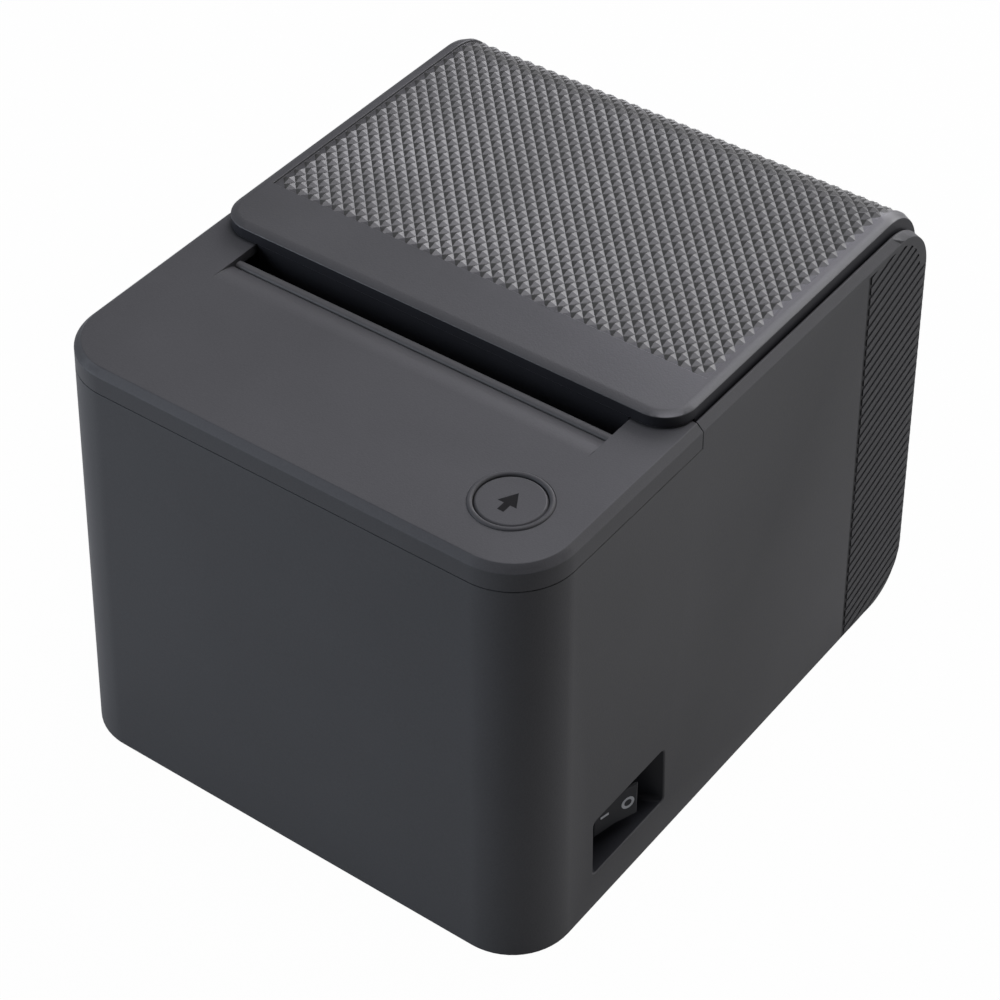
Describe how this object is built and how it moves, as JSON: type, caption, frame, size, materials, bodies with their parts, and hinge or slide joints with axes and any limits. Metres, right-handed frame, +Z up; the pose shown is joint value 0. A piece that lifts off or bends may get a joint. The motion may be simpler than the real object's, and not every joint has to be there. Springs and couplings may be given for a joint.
{
  "type": "receipt printer",
  "caption": "Compact desktop receipt printer with a lift-up paper lid, feed key, rocker power switch, thermal print mechanism and paper cutter.",
  "frame": {"origin": "on the table, under the middle of the casing", "axes": "+X to the printer's right, +Y to its back, +Z up"},
  "size_m": [0.126, 0.1488, 0.1117],
  "materials": {
    "case_grey": "fine matt grain",
    "lid_grey": "fine matt grain",
    "black_plastic": "matt",
    "key_grey": "satin",
    "inner_plastic": "as moulded",
    "gear_white": "as moulded",
    "board_green": "solder mask",
    "chip_black": "epoxy",
    "foot_rubber": "moulded",
    "platen_rubber": "ground",
    "steel": "bright",
    "frame_steel": "zinc plated sheet",
    "blade_steel": "ground edge",
    "aluminium": "milled",
    "head_ceramic": "glazed",
    "bronze": "sintered",
    "tin": "tin plated"
  },
  "bodies": {
    "case": {"main_housing": "case_grey", "base_plate": "case_grey", "rubber_feet": "foot_rubber", "base_screws": "steel", "top_fascia": "case_grey", "tear_bar": "black_plastic", "key_ring": "black_plastic", "key_board": "board_green", "key_board_screws": "steel", "tact_switch": "chip_black", "switch_body": "black_plastic", "switch_terminals": "tin", "hinge_pin": "steel", "mechanism_frame": "frame_steel", "mechanism_screws": "steel", "head_pivot_pin": "steel", "head_springs": "steel", "feed_motor": "frame_steel", "idler_pin": "steel", "cutter_guide": "frame_steel", "cutter_motor": "frame_steel", "paper_bucket": "inner_plastic", "paper_sensor": "chip_black", "main_board": "board_green", "board_parts": "chip_black", "board_screws": "steel", "power_inlet": "black_plastic", "drawer_socket": "black_plastic", "usb_socket": "tin", "network_socket": "tin"},
    "cover": {"paper_cover": "lid_grey", "platen_holder": "inner_plastic", "holder_screws": "steel", "fixed_blade": "blade_steel", "platen_bushes": "bronze"},
    "platen": {"platen_roller": "platen_rubber", "platen_shaft": "steel", "platen_gear": "gear_white"},
    "idler": {"idler_gear": "gear_white"},
    "feed_rotor": {"feed_motor_shaft": "steel", "feed_pinion": "gear_white"},
    "cutter_drive": {"cutter_shaft": "steel", "cutter_pinions": "gear_white", "cutter_gear": "gear_white"},
    "blade_carriage": {"moving_blade": "blade_steel", "blade_racks": "gear_white"},
    "cutter_rotor": {"cutter_motor_shaft": "steel", "cutter_motor_pinion": "gear_white"},
    "print_head": {"thermal_head": "head_ceramic", "heat_sink": "aluminium"},
    "key": {"feed_key": "key_grey", "tact_plunger": "gear_white"},
    "rocker": {"rocker": "black_plastic"}
  },
  "joints": [
    {"name": "cover_hinge", "type": "hinge", "parent": "case", "child": "cover", "pos_m": [0, 0.0688, 0.0912], "axis": [-1, 0, 0], "range_deg": [0, 95]},
    {"name": "platen_spin", "type": "hinge", "parent": "cover", "child": "platen", "pos_m": [0, -0.0155, 0.086], "axis": [1, 0, 0], "continuous": true},
    {"name": "idler_spin", "type": "hinge", "parent": "case", "child": "idler", "pos_m": [0, -0.0155, 0.0716], "axis": [1, 0, 0], "continuous": true},
    {"name": "feed_motor_spin", "type": "hinge", "parent": "case", "child": "feed_rotor", "pos_m": [0, -0.0244, 0.06447], "axis": [1, 0, 0], "continuous": true},
    {"name": "cutter_turn", "type": "hinge", "parent": "case", "child": "cutter_drive", "pos_m": [0, -0.045, 0.09], "axis": [-1, 0, 0], "range_deg": [0, 119.4]},
    {"name": "blade_slide", "type": "slide", "parent": "case", "child": "blade_carriage", "axis": [0, 1, 0], "range_m": [0, 0.0075]},
    {"name": "cutter_motor_spin", "type": "hinge", "parent": "case", "child": "cutter_rotor", "pos_m": [0, -0.045, 0.0768], "axis": [-1, 0, 0], "range_deg": [-320, 0]},
    {"name": "head_tilt", "type": "hinge", "parent": "case", "child": "print_head", "pos_m": [0, -0.027, 0.0773], "axis": [1, 0, 0], "range_deg": [0, 2.5], "stiffness_Nm_per_rad": 1.5, "springref_deg": -6.88, "deforming": ["head_springs"]},
    {"name": "key_press", "type": "slide", "parent": "case", "child": "key", "axis": [0, 0, -1], "range_m": [0, 0.0008], "stiffness_N_per_m": 2500},
    {"name": "rocker_tip", "type": "hinge", "parent": "case", "child": "rocker", "pos_m": [0.0556, -0.03775, 0.01915], "axis": [0, 0, 1], "range_deg": [0, 32]}
  ],
  "couplings": [
    {"joint": "idler_spin", "follows": "platen_spin", "ratio": -0.84615},
    {"joint": "feed_motor_spin", "follows": "platen_spin", "ratio": 1.8333},
    {"joint": "cutter_turn", "follows": "blade_slide", "rad_per_m": 277.78},
    {"joint": "cutter_motor_spin", "follows": "blade_slide", "rad_per_m": -740.74}
  ]
}
